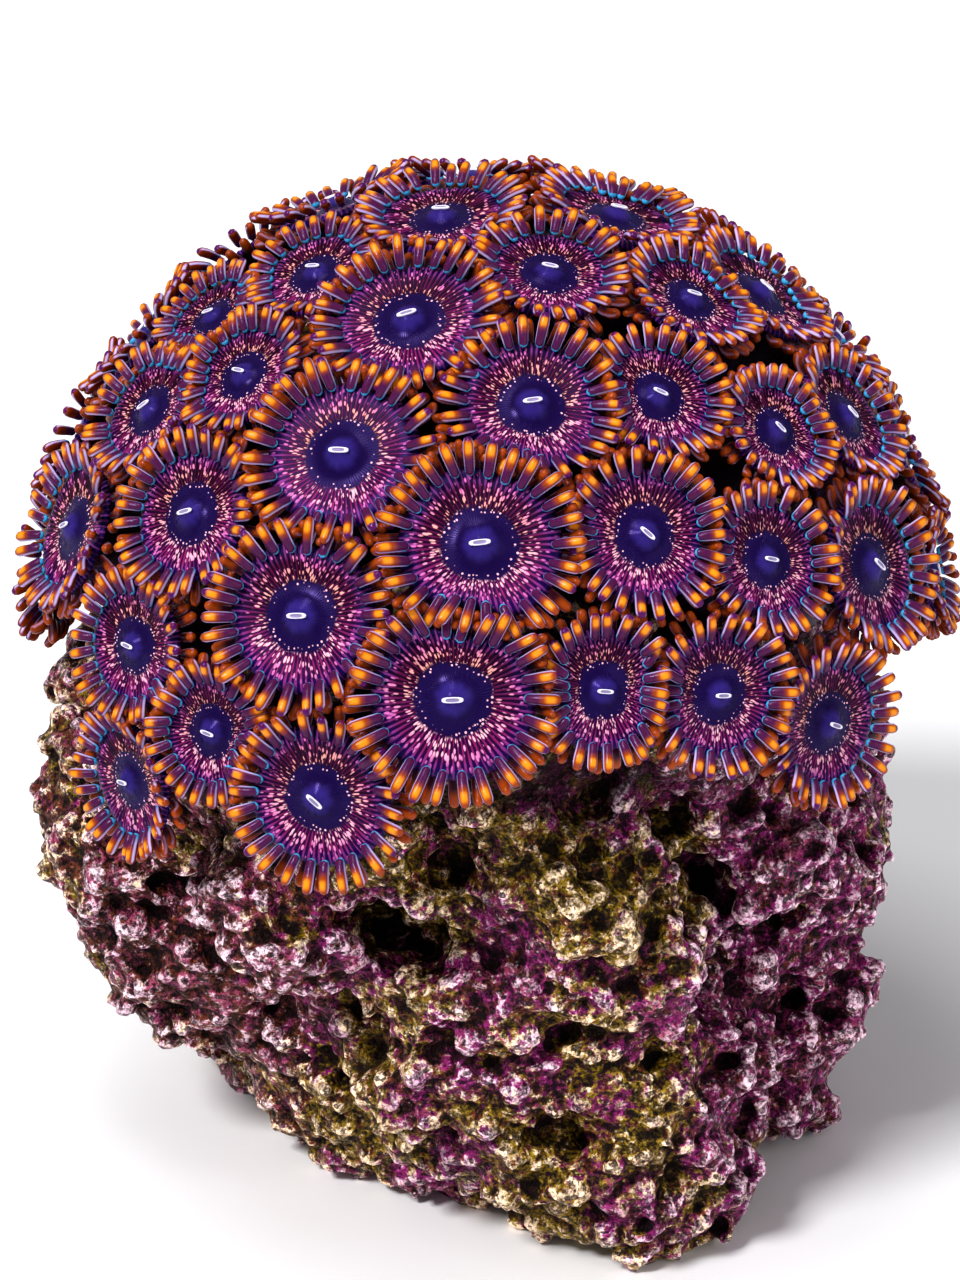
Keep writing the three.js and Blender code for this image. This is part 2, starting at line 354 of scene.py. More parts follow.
def lip_shape(settings):
    """Both lips as one flat pill with a groove along it, in the plane of the disc."""
    deselect()
    bpy.ops.mesh.primitive_uv_sphere_add(segments=16, ring_count=8, radius=1)
    pill = bpy.context.object
    places = corners(pill.data)
    height = places[:, 2].copy()
    across = np.hypot(places[:, 0], places[:, 1])
    groove = np.where(height > 0, 1 - smooth(0.35, 0.75, across), 0)
    for axis, long in ((0, settings.lip_length), (1, settings.lip_width)):
        places[:, axis] = np.sign(places[:, axis]) * np.abs(places[:, axis]) ** 0.7 * long / 2
    places[:, 2] = height * 0.16 * MM * (1 - 0.8 * groove)
    faces = faces_of(pill.data)
    bpy.data.objects.remove(pill)
    return places, faces, groove


def fit_body(polyp, template, settings, fingers, seed):
    """A copy of the plain polyp, shaped to the room that this one has."""
    local = template["places"]
    turns = np.arctan2(local[:, 1], local[:, 0])
    rim = rim_radius(polyp, turns, settings, fingers)
    row = template["row"]
    down = [DISC_ROWS[-1][0] + 0.12 * (i + 1) for i in range(len(COLUMN_ROWS))]
    shares = np.array([t for t, _ in DISC_ROWS] + down)[row]
    widths, levels = np.array(template_rows(settings.disc_share))[row].T
    on_disc = row < len(DISC_ROWS)
    free = settings.disc_share * polyp.reach
    pulled = smooth(0.15, 0.9, shares)
    disc_radius = shares * (free + (rim - free) * pulled)
    column_radius = np.minimum(widths * polyp.reach, rim * widths / settings.disc_share)
    radius = np.where(on_disc, disc_radius, column_radius)
    height = np.where(on_disc, levels * polyp.reach, levels * FOOT_DROP)
    ridges = np.cos(settings.ridges * turns) * settings.ridge_height * smooth(0.45, 0.65, shares)
    wander = 0.012 * polyp.reach * np.sin(3 * turns + seed * 40) * smooth(0.3, 0.9, shares)
    height += on_disc * (ridges + wander)

    middle = np.array(polyp.centre)
    facing = np.array(polyp.facing)
    places = middle + outward(polyp, turns) * radius[:, None] + facing * height[:, None]
    pattern = np.stack([shares * np.cos(turns), shares * np.sin(turns), np.full(len(turns), seed)], axis=1)

    lip_places, lip_faces, groove = template["lips"]
    tilt = math.radians(SLIT_TURNS.get(int(polyp.name[-2:]), -35 + 55 * math.modf(seed * 7.31)[0]))
    along = outward(polyp, np.array([tilt]))[0]
    beside = outward(polyp, np.array([tilt + math.pi / 2]))[0]
    mouth = middle + facing * (DISC_ROWS[0][1] * polyp.reach)
    scale = min(1.1, max(0.75, polyp.reach / (6.8 * MM)))
    lips = mouth + scale * lip_places @ np.stack([along, beside, facing])
    faces = template["faces"] + [tuple(i + len(places) for i in face) for face in lip_faces]
    mesh = make_mesh(polyp.name, np.vstack([places, lips]), faces)
    give(mesh, "disc", np.vstack([pattern, np.zeros((len(lips), 3))]))
    give(mesh, "lip", np.concatenate([np.zeros(len(places)), 1 - 0.4 * groove]))
    return mesh


class COLONY_OT_discs(bpy.types.Operator):
    """Models one polyp's disc and column, and fits a copy to every polyp of the colony"""

    bl_idname = "colony.discs"
    bl_label = "Discs and columns"

    def execute(self, context):
        settings = context.scene.colony_polyps
        fingers = context.scene.colony_tentacles
        body = model_body(settings)
        places = corners(body.data)
        rows = np.array(template_rows(settings.disc_share))
        places[:, 2] += rows[1][1]
        middle = np.hypot(places[:, 0], places[:, 1]) < 1e-6
        places[middle, 2] = rows[0][1]
        seen = np.stack([np.hypot(places[:, 0], places[:, 1]), places[:, 2]], axis=1)
        row = np.abs(seen[:, None, :] - rows[None, :, :]).sum(axis=2).argmin(axis=1)
        template = {
            "places": places,
            "row": row,
            "faces": faces_of(body.data),
            "lips": lip_shape(settings),
        }
        bpy.data.objects.remove(body)
        material = disc_material(settings)
        for number, polyp in enumerate(POLYPS):
            seed = math.modf(0.618 * (number + 1))[0]
            mesh = fit_body(polyp, template, settings, fingers, seed)
            piece = make_object(polyp.name.replace("polyp", "disc"), mesh)
            dress(piece, material, polyp.name)
        return {"FINISHED"}


# Tentacles

FINGER_SIDES = 8
# Along a tentacle: share of its length, and radius as a share of half its width
FINGER_ROWS = [
    (0.00, 0.00), (0.02, 0.40), (0.06, 0.68), (0.14, 0.87), (0.36, 0.93), (0.64, 1.00),
    (0.85, 0.94), (0.95, 0.66), (1.00, 0.00),
]
CLEAR_AT = np.array([0.3, 0.55, 0.8, 1.0])  # along a tentacle, where the others keep clear of it
SETTLE_ROUNDS = 14


def model_finger():
    """One straight tentacle: a sphere whose rings are spread along it."""
    deselect()
    bpy.ops.mesh.primitive_uv_sphere_add(segments=FINGER_SIDES, ring_count=len(FINGER_ROWS) - 1, radius=1)
    finger = bpy.context.object
    places = corners(finger.data)
    heights = sorted(set(np.round(places[:, 2], 4)))
    row = np.array([heights.index(z) for z in np.round(places[:, 2], 4)])
    faces = np.array([tuple(f.vertices) + (-1,) * (4 - len(f.vertices)) for f in finger.data.polygons])
    turns = np.arctan2(places[:, 1], places[:, 0])
    bpy.data.objects.remove(finger)
    return row, turns, faces


def plan_row(owner, lower, settings, fingers, random):
    """One row of a polyp's tentacles: where each starts, how it bends, how long and how wide it is."""
    polyp = POLYPS[owner]
    number = int(round(fingers.fewest + fingers.more * polyp.reach / MM))
    turns = (np.arange(number) + 0.5 * lower + random.uniform(-0.13, 0.13, number)) * 2 * np.pi / number
    rim = rim_radius(polyp, turns, settings, fingers)
    past = 0.15 * MM if lower else fingers.overlap
    end = np.minimum(polyp.reach, room(polyp, turns) + past)
    run = np.maximum(end - rim, 0.5 * fingers.least_run)
    long = min(fingers.longest, fingers.length_share * polyp.reach) * (1 - 0.1 * lower)
    long = long * random.uniform(0.93, 1.07, number)
    lean = np.arccos(np.clip(run / long, 0.2, 1.0))
    crowding = smooth(0.15, 0.6, lean)
    if lower:
        first = -0.25 - 0.1 * crowding
        last = -0.6 * (1 - crowding) + (lean + 0.75) * crowding
        radius = rim + 0.05 * MM
        height = -0.05 * polyp.reach - 0.25 * MM
    else:
        first = 0.06 + 0.9 * lean * crowding
        last = -0.45 * (1 - crowding) + (0.9 * lean - 0.40) * crowding
        radius = rim - 0.36 * MM
        height = 0.26 * MM
    width = fingers.width * min(1.06, 0.72 + 0.05 * polyp.reach / MM) * random.uniform(0.92, 1.06, number)
    facing = np.array(polyp.facing)
    return {
        "owner": np.full(number, owner),
        "start": np.array(polyp.centre) + outward(polyp, turns) * radius[:, None] + facing * height,
        "out": outward(polyp, turns),
        "facing": np.tile(facing, (number, 1)),
        "first": first + random.uniform(-0.12, 0.12, number),
        "last": last + random.uniform(-0.12, 0.12, number),
        "swerve": random.uniform(-0.12, 0.12, number),
        "length": long,
        "width": width,
        "seed": lower + random.uniform(0.05, 0.95, number),
    }


def bend(field, along):
    """Points along every tentacle, and the ways that its top and its end face there."""
    beside = np.cross(field["facing"], field["out"])
    swerve = field["swerve"][:, None]
    forward = (field["out"] * np.cos(swerve) + beside * np.sin(swerve))[:, None]
    facing = field["facing"][:, None]
    first = field["first"][:, None]
    curve = field["last"][:, None] - first
    curve = np.where(np.abs(curve) < 0.02, 0.02, curve)
    angle = first + curve * along
    radius = field["length"][:, None] / curve
    forth = (np.sin(angle) - np.sin(first)) * radius
    upward = (np.cos(first) - np.cos(angle)) * radius
    points = field["start"][:, None] + forward * forth[..., None] + facing * upward[..., None]
    rise, level = np.sin(angle)[..., None], np.cos(angle)[..., None]
    return points, facing * level - forward * rise, forward * level + facing * rise


def settle(field):
    """Lets the tentacles push each other sideways, up and down, until they lie between each other."""
    marks = len(CLEAR_AT)
    start = {key: field[key].copy() for key in ("swerve", "first", "last")}
    give_way = {"swerve": 0.5, "first": 0.3, "last": 0.7}
    widest = field["width"].max()
    for _ in range(SETTLE_ROUNDS):
        points, top, ahead = bend(field, CLEAR_AT)
        flat = points.reshape(-1, 3)
        tree = tree_of(flat)
        pairs = np.array(
            [(i, j) for i, point in enumerate(flat) for _, j, _ in tree.find_range(point, widest) if i < j]
        )
        pairs = pairs[pairs[:, 0] // marks != pairs[:, 1] // marks]
        one, other = pairs.T
        away = flat[one] - flat[other]
        apart = np.linalg.norm(away, axis=1)
        clear = (field["width"][one // marks] + field["width"][other // marks]) / 2
        shove = away * (np.maximum(clear - apart, 0) / (2 * np.maximum(apart, 1e-6)))[:, None]
        push = np.zeros_like(flat)
        np.add.at(push, one, shove)
        np.add.at(push, other, -shove)
        push = push.reshape(points.shape) * CLEAR_AT[:, None] / field["length"][:, None, None]
        aside = np.clip((push * np.cross(top, ahead)).sum(axis=(1, 2)), -0.15, 0.15)
        lift = np.clip((push * top).sum(axis=(1, 2)), -0.2, 0.2)
        for key, change in (("swerve", aside), ("first", 0.4 * lift), ("last", lift)):
            limit = give_way[key]
            field[key] = start[key] + np.clip(field[key] + change - start[key], -limit, limit)


def crown(field, finger):
    """All of a polyp's tentacles as one mesh."""
    row, around, faces = finger
    along, girth = np.array(FINGER_ROWS)[row].T
    spine, top, ahead = bend(field, along)
    side = np.cross(ahead, top)
    thick = field["width"][:, None, None] / 2 * girth[:, None]
    places = spine + thick * (np.cos(around)[:, None] * top + np.sin(around)[:, None] * side)
    copies = len(places)
    joined = (faces[None] + (np.arange(copies) * len(along))[:, None, None]).reshape(-1, 4)
    pointed = np.tile(faces[:, 3] < 0, copies)
    shapes = [tuple(f[:3]) if three else tuple(f) for f, three in zip(joined.tolist(), pointed)]
    mesh = make_mesh("tentacles", places, shapes)
    mark = np.stack([along, np.abs(np.sin(around)), np.cos(around)], axis=1)
    give(mesh, "finger", np.tile(mark, (copies, 1)))
    give(mesh, "finger_seed", np.repeat(field["seed"], len(along)))
    return mesh


class COLONY_OT_tentacles(bpy.types.Operator):
    """Models one tentacle, and rings every disc with two rows of copies that bend where they are crowded"""

    bl_idname = "colony.tentacles"
    bl_label = "Tentacles"

    def execute(self, context):
        settings = context.scene.colony_polyps
        fingers = context.scene.colony_tentacles
        finger = model_finger()
        material = tentacle_material(fingers)
        random = np.random.default_rng(11)
        rows = [plan_row(i, lower, settings, fingers, random) for i in range(len(POLYPS)) for lower in (0, 1)]
        field = {key: np.concatenate([row[key] for row in rows]) for key in rows[0]}
        settle(field)
        for i, polyp in enumerate(POLYPS):
            own = field["owner"] == i
            mesh = crown({key: values[own] for key, values in field.items()}, finger)
            piece = make_object(polyp.name.replace("polyp", "tentacles"), mesh)
            dress(piece, material, polyp.name)
        return {"FINISHED"}


# The rock


def line_of_sight(settings):
    """Where the camera stands and looks, and the right and the top of its picture."""
    rise = settings.camera_rise
    target = Vector((0, 0, settings.aim_height))
    camera = target + settings.camera_distance * Vector((0, -math.cos(rise), math.sin(rise)))
    return camera, target, Vector((1, 0, 0)), Vector((0, math.sin(rise), math.cos(rise)))


# The dark hollows that the photograph shows in it, in mm: right of and above the point aimed at, on the plane
# through it that faces the camera, then radius and depth
CAVES = [
    # the great hole under the middle, and the shade beside it
    (-6.0, -21.9, 3.1, 8.0), (-8.6, -20.8, 2.3, 6.0), (-3.6, -23.0, 2.0, 6.0),
    (-2.3, -16.8, 2.6, 4.5), (-3.2, -13.8, 2.2, 4.0),
    # the crevice between the front buttress and the right shoulder
    (8.2, -11.6, 2.4, 5.0), (13.6, -13.4, 2.6, 6.5), (16.0, -15.9, 2.7, 7.5),
    (16.8, -18.9, 2.5, 7.5), (17.0, -21.9, 2.2, 6.5), (17.6, -24.6, 1.8, 5.0),
    (19.6, -12.6, 2.8, 4.0),
    # the notch below it
    (18.4, -32.1, 1.6, 4.0), (19.4, -34.9, 2.0, 5.5), (20.2, -37.9, 2.6, 6.0),
    # holes in the right shoulder
    (23.8, -27.2, 2.6, 6.0), (27.0, -23.0, 1.4, 3.0), (22.4, -20.6, 1.3, 3.0),
    # the gap between the left shoulder and the front
    (-20.2, -16.0, 2.2, 4.5), (-19.4, -22.4, 2.3, 6.0), (-17.2, -25.0, 2.0, 6.0),
    (-15.0, -27.6, 1.8, 5.0), (-24.6, -20.8, 1.5, 3.0), (-22.2, -17.6, 1.6, 3.5),
    (-25.2, -24.2, 1.2, 2.5),
    # holes low on the front
    (7.6, -37.0, 2.4, 5.5), (4.6, -36.4, 1.6, 4.0), (-0.8, -41.3, 1.9, 4.0),
    (-8.3, -28.0, 1.9, 3.5), (-9.8, -32.6, 1.8, 3.5), (-2.6, -30.6, 1.7, 3.5),
    (6.0, -29.4, 1.9, 3.5), (11.0, -26.4, 1.1, 2.6), (10.2, -15.4, 1.2, 2.6),
    (2.4, -22.6, 1.3, 2.4), (12.8, -31.6, 1.4, 3.0),
]
# The lumps that stand out of it, the same way, with the height of each
BOSSES = [
    # the ledge along the top of the front buttress
    (2.6, -13.8, 1.8, 1.6), (6.0, -14.0, 2.0, 1.8), (9.6, -14.2, 2.0, 1.8),
    (12.0, -16.4, 1.8, 1.4),
    # down its face
    (15.4, -22.0, 2.6, 1.6), (6.8, -20.6, 2.6, 1.3), (1.8, -24.8, 2.8, 1.5),
    (5.6, -27.6, 2.2, 1.2), (-1.2, -34.0, 2.3, 2.0), (14.4, -33.6, 3.4, 1.9),
    (17.6, -38.0, 2.4, 1.4), (10.4, -43.6, 3.0, 1.4), (-7.2, -37.6, 2.8, 1.3),
    (-11.6, -34.6, 2.4, 1.2),
    # the magenta nubs beside the lower polyps
    (-18.8, -19.2, 2.6, 1.8), (-15.2, -22.4, 2.4, 1.3), (-10.6, -24.6, 2.4, 1.4),
    (-14.6, -29.6, 2.4, 1.2),
    # the shoulders
    (27.6, -18.4, 2.4, 1.2), (22.0, -24.0, 2.2, 1.2), (26.0, -29.6, 2.2, 1.0),
    (-28.0, -17.6, 2.4, 1.2), (-24.6, -28.4, 2.6, 1.2),
]
# Where it is olive or purple, the same way: radius, and then above 0 for olive film or below for purple crust
ZONES = [
    (7.0, -16.0, 5.0, 1.0), (12.0, -20.0, 4.0, 1.0), (13.6, -25.0, 3.0, 1.0),
    (10.0, -36.0, 5.5, 0.8), (-10.0, -36.0, 4.5, 0.7), (-8.0, -29.0, 3.5, 0.6),
    (15.0, -41.0, 4.0, 0.6), (9.6, -12.6, 2.6, -1.0), (-13.6, -26.0, 4.0, -1.0),
    (-18.4, -19.0, 3.4, -1.3), (0.4, -26.0, 4.5, -0.8), (-1.2, -33.6, 2.4, -1.0),
    (5.0, -31.6, 3.6, -0.9), (22.6, -30.0, 6.0, -1.2), (-27.0, -22.0, 8.0, -0.7),
    (-20.0, -32.0, 5.0, -0.4), (26.0, -20.0, 6.0, -0.7), (-12.6, -31.0, 3.0, -0.9),
]


def in_funnels(points, margin):
    """Which points lie within a polyp's space, from its sole up to its tentacles."""
    inside = np.zeros(len(points), bool)
    for polyp in POLYPS:
        away = points - np.array(polyp.centre)
        drop = -away @ np.array(polyp.facing)
        wide = np.sqrt(np.maximum((away**2).sum(axis=1) - drop**2, 0))
        spread = polyp.reach * (1 - TAPER * np.clip(drop / FOOT_DROP, 0, 1))
        inside |= (drop < FOOT_DROP + margin) & (wide < spread + margin)
    return inside


def scatter(mesh, number, random):
    """Points spread evenly over a mesh, with the normals there."""
    mesh.calc_loop_triangles()
    triangles = np.array([t.vertices for t in mesh.loop_triangles])
    places = corners(mesh)
    a, b, c = (places[triangles[:, k]] for k in range(3))
    normals = np.cross(b - a, c - a)
    areas = np.linalg.norm(normals, axis=1)
    picks = random.choice(len(triangles), number, p=areas / areas.sum())
    u, v = random.uniform(0, 1, (2, number))
    folded = u + v > 1
    u[folded], v[folded] = 1 - u[folded], 1 - v[folded]
    points = a[picks] + (b - a)[picks] * u[:, None] + (c - a)[picks] * v[:, None]
    return points, (normals / areas[:, None])[picks]


def reshape(rock, kind, **settings):
    """Adds a modifier of that kind and applies it at once."""
    step = rock.modifiers.new(kind, kind)
    for key, value in settings.items():
        setattr(step, key, value)
    only(rock)
    bpy.ops.object.modifier_apply(modifier=step.name)


def displace(rock, kind, size, strength, **details):
    """Pushes the rock's skin in and out by a procedural pattern of that size."""
    texture = bpy.data.textures.new(kind, kind)
    texture.noise_scale = size
    for key, value in details.items():
        setattr(texture, key, value)
    reshape(rock, "DISPLACE", texture=texture, texture_coords="LOCAL", strength=strength, mid_level=0.5)


def remesh(rock, size):
    reshape(rock, "REMESH", mode="VOXEL", voxel_size=size)


def largest_body(rock):
    """The rock without the crumbs that touch it nowhere."""
    only(rock)
    bpy.ops.object.mode_set(mode="EDIT")
    bpy.ops.mesh.separate(type="LOOSE")
    bpy.ops.object.mode_set(mode="OBJECT")
    *crumbs, largest = sorted(bpy.context.selected_objects, key=lambda thing: len(thing.data.vertices))
    for crumb in crumbs:
        bpy.data.objects.remove(crumb)
    largest.name = "reef_rock"
    return largest


def level_base(mesh):
    """Nothing of the rock lies below the floor."""
    places = corners(mesh)
    places[:, 2] = np.maximum(places[:, 2], 0)
    place_corners(mesh, places)


def push_in(mesh, points, ways, radii, depths, steepness):
    """Presses a round hollow into the mesh at each point, the given way."""
    places = corners(mesh)
    tree = tree_of(places)
    moved = places.copy()
    for point, way, radius, depth in zip(points, ways, radii, depths):
        near = np.array([(i, distance) for _, i, distance in tree.find_range(point, radius * 1.7)])
        if len(near):
            chosen = near[:, 0].astype(int)
            moved[chosen] += np.outer(depth * np.exp(-((near[:, 1] / radius) ** steepness)), way)
    place_corners(mesh, moved)


def film_zones(places, studio):
    """How far each place is olive or purple by the zones, as the camera sees them."""
    camera, target, right, above = line_of_sight(studio)
    from_camera = places - np.array(camera)
    sight = np.array((target - camera).normalized())
    scale = studio.camera_distance / (from_camera @ sight) / MM
    x = from_camera @ np.array(right) * scale
    y = from_camera @ np.array(above) * scale
    total = np.zeros(len(places))
    for zone_x, zone_y, radius, kind in ZONES:
        total += kind * np.exp(-((x - zone_x) ** 2 + (y - zone_y) ** 2) / radius**2)
    return total * smooth(6, -6, places[:, 1] / MM)


def carve(rock, studio):
    """The large hollows and lumps, each found by looking through its place from the camera."""
    camera, target, right, above = line_of_sight(studio)
    skin = BVHTree.FromPolygons([v.co for v in rock.data.vertices], faces_of(rock.data))
    for rows, steepness, sign in ((BOSSES, 2.5, -1), (CAVES, 4, 1)):
        found = []
        for x, y, radius, depth in rows:
            way = (target + (right * x + above * y) * MM - camera).normalized()
            hit = skin.ray_cast(camera, way)[0]
            if hit:
                found.append((hit, way, radius * MM, sign * depth * MM))
        push_in(rock.data, *zip(*found), steepness)


def add_knobs(rock, number, small, large, shape, faces, random):
    """Knobs of crust, each a small ball half sunk in the rock, that the next remesh joins to it."""
    points, normals = scatter(rock.data, number, random)
    size = (small + (large - small) * random.beta(1.3, 2.4, number)) * MM
    kept = ~in_funnels(points + normals * size[:, None], 0.5 * MM) & (points[:, 2] > 0.4 * MM)
    points, normals, size = points[kept], normals[kept], size[kept]
    squash = 1 + random.uniform(-0.25, 0.25, (len(points), 1, 3))
    places = (points + normals * size[:, None] * 0.2)[:, None] + shape * squash * size[:, None, None]
    joined = faces[None] + (np.arange(len(points)) * len(shape))[:, None, None]
    return make_object("knobs", make_mesh("knobs", places, joined.reshape(-1, 3).tolist()))


def relief(mesh, rounds):
    """How far each vertex stands out of the skin around it."""
    places = corners(mesh)
    edges = np.array([e.vertices for e in mesh.edges])
    here, there = np.vstack([edges, edges[:, ::-1]]).T
    degree = np.bincount(here, minlength=len(places))
    even = places.copy()
    for _ in range(rounds):
        total = [np.bincount(here, column, len(places)) for column in even[there].T]
        even = 0.5 * even + 0.5 * (total / degree).T
    normals = np.empty(len(places) * 3)
    mesh.vertex_normals.foreach_get("vector", normals)
    return ((places - even) * normals.reshape(-1, 3)).sum(axis=1)


class COLONY_OT_rock(bpy.types.Operator):
    """Encrusts the rock's solid with knobs of coralline crust, and wears hollows and pits into it"""

    bl_idname = "colony.rock"
    bl_label = "Reef rock"

    def execute(self, context):
        settings = context.scene.colony_rock
        random = np.random.default_rng(5)
        rock = make_object("reef_rock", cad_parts["live_rock"].data.copy())
        only(rock)
        bpy.ops.object.mode_set(mode="EDIT")
        bpy.ops.mesh.select_all(action="SELECT")
        bpy.ops.mesh.remove_doubles(threshold=0.01 * MM)
        bpy.ops.object.mode_set(mode="OBJECT")
        remesh(rock, 0.8 * MM)
        displace(rock, "CLOUDS", 8 * MM, 3.4 * MM, noise_depth=2)
        displace(rock, "VORONOI", 4.5 * MM, -2.2 * MM)
        carve(rock, context.scene.colony_studio)

        deselect()
        bpy.ops.mesh.primitive_ico_sphere_add(subdivisions=2, radius=1)
        ball = context.object
        shape = corners(ball.data)
        faces = np.array(faces_of(ball.data))
        bpy.data.objects.remove(ball)
        knobs = add_knobs(rock, settings.knobs, 0.6, 1.5, shape, faces, random)
        beads = add_knobs(rock, settings.beads, 0.3, 0.75, shape, faces, random)
        only(rock)
        knobs.select_set(True)
        beads.select_set(True)
        bpy.ops.object.join()
        remesh(rock, settings.grain)

        points, normals = scatter(rock.data, settings.pits, random)
        radii = random.uniform(0.5, 1.5, settings.pits) * MM
        push_in(rock.data, points, -normals, radii, radii * random.uniform(0.9, 1.7, settings.pits), 2)
        displace(rock, "STUCCI", 0.8 * MM, 0.5 * MM, turbulence=3)
        places = corners(rock.data)
        away = places - np.array(DOME_CENTRE)
        far = np.linalg.norm(away, axis=1)
        limit = np.where(in_funnels(places, 0), DOME_SKIN, 1.0)
        places = np.array(DOME_CENTRE) + away * np.minimum(1, limit / far)[:, None]
        place_corners(rock.data, places)
        level_base(rock.data)
        places = corners(rock.data)
        give(rock.data, "film", film_zones(places, context.scene.colony_studio))
        give(rock.data, "relief", relief(rock.data, 10) / MM)
        give(rock.data, "broad_relief", relief(rock.data, 90) / MM)
        rock.data.calc_loop_triangles()
        reshape(rock, "DECIMATE", ratio=min(1, settings.triangles / len(rock.data.loop_triangles)))
        rock = largest_body(rock)
        level_base(rock.data)
        dress(rock, rock_material(settings), "live_rock")
        return {"FINISHED"}


# Materials


class Shader:
    """A material's node tree, with one line for each node."""

    def __init__(self, name, **surface):
        self.material = bpy.data.materials.new(name)
        self.material.use_nodes = True
        self.tree = self.material.node_tree
        self.tree.nodes.clear()
        self.surface = self.tree.nodes.new("ShaderNodeBsdfPrincipled")
        output = self.tree.nodes.new("ShaderNodeOutputMaterial")
        self.tree.links.new(self.surface.outputs[0], output.inputs["Surface"])
        for socket, value in surface.items():
            self.surface.inputs[socket.replace("_", " ")].default_value = value

    def give(self, socket, value):
        if isinstance(value, bpy.types.NodeSocket):
            self.tree.links.new(value, socket)
        elif value is not None:
            size = len(socket.default_value) if hasattr(socket.default_value, "__len__") else 0
            socket.default_value = (*value, 1) if size == 4 and len(value) == 3 else value

    def add(self, kind, inputs=(), **settings):
        node = self.tree.nodes.new("ShaderNode" + kind)
        for key, value in settings.items():
            setattr(node, key, value)
        for key, value in dict(inputs).items():
            self.give(node.inputs[key], value)
        return node

    def attribute(self, name, output="Fac"):
        return self.add("Attribute", attribute_name=name).outputs[output]

    def parts(self, name):
        """The three numbers of a vector attribute."""
        return self.add("SeparateXYZ", {0: self.attribute(name, "Vector")}).outputs

    def math(self, operation, a, b=None, c=None):
        node = self.add("Math", operation=operation)
        for socket, value in zip(node.inputs, (a, b, c)):
            self.give(socket, value)
        return node.outputs[0]

    def times(self, a, b):
        return self.math("MULTIPLY", a, b)

    def more(self, value, amount, weight):
        """The value and that share of the amount."""
        return self.math("MULTIPLY_ADD", amount, weight, value)

    def sway(self, value, noise, weight):
        """The value moved up and down by a noise whose middle is a half."""
        return self.more(value, self.math("SUBTRACT", noise, 0.5), weight)

    def step(self, value, low, high, start=0.0, end=1.0):
        """A smooth rise from start to end as the value goes from low to high."""
        inputs = {0: value, 1: low, 2: high, 3: start, 4: end}
        return self.add("MapRange", inputs, interpolation_type="SMOOTHSTEP").outputs[0]

    def fall(self, value, low, high):
        """A smooth fall from one to nothing."""
        return self.step(value, low, high, 1.0, 0.0)

    def mix(self, factor, a, b):
        node = self.add("Mix", data_type="RGBA")
        self.give(node.inputs[0], factor)
        self.give(node.inputs[6], a)
        self.give(node.inputs[7], b)
        return node.outputs[2]

    def scale(self, shade, amount):
        """A colour made lighter or darker."""
        return self.add("VectorMath", {0: shade, 3: amount}, operation="SCALE").outputs[0]

    def noise(self, vector, scale, detail=2.0, roughness=0.5):
        inputs = {"Vector": vector, "Scale": scale, "Detail": detail, "Roughness": roughness}
        return self.add("TexNoise", inputs).outputs[0]

    def voronoi(self, vector, scale, randomness=1.0):
        inputs = {"Vector": vector, "Scale": scale, "Randomness": randomness}
        return self.add("TexVoronoi", inputs).outputs["Distance"]

    def place(self):
        """Object coordinates in millimetres."""
        return self.scale(self.add("TexCoord").outputs["Object"], 1 / MM)

    def bump(self, height, distance_mm, under=None):
        inputs = {"Height": height, "Distance": distance_mm * MM, "Strength": 1.0, "Normal": under}
        return self.add("Bump", inputs).outputs[0]

    def finish(self, base, normal=None, roughness=None, painted_glow=0.0):
        self.give(self.surface.inputs["Base Color"], base)
        self.give(self.surface.inputs["Normal"], normal)
        self.give(self.surface.inputs["Roughness"], roughness)
        # painted glow: the surface gives off its own base colour as a faint emission, though it is no lamp
        if painted_glow:
            self.give(self.surface.inputs["Emission Color"], base)
            self.surface.inputs["Emission Strength"].default_value = painted_glow
        return self.material


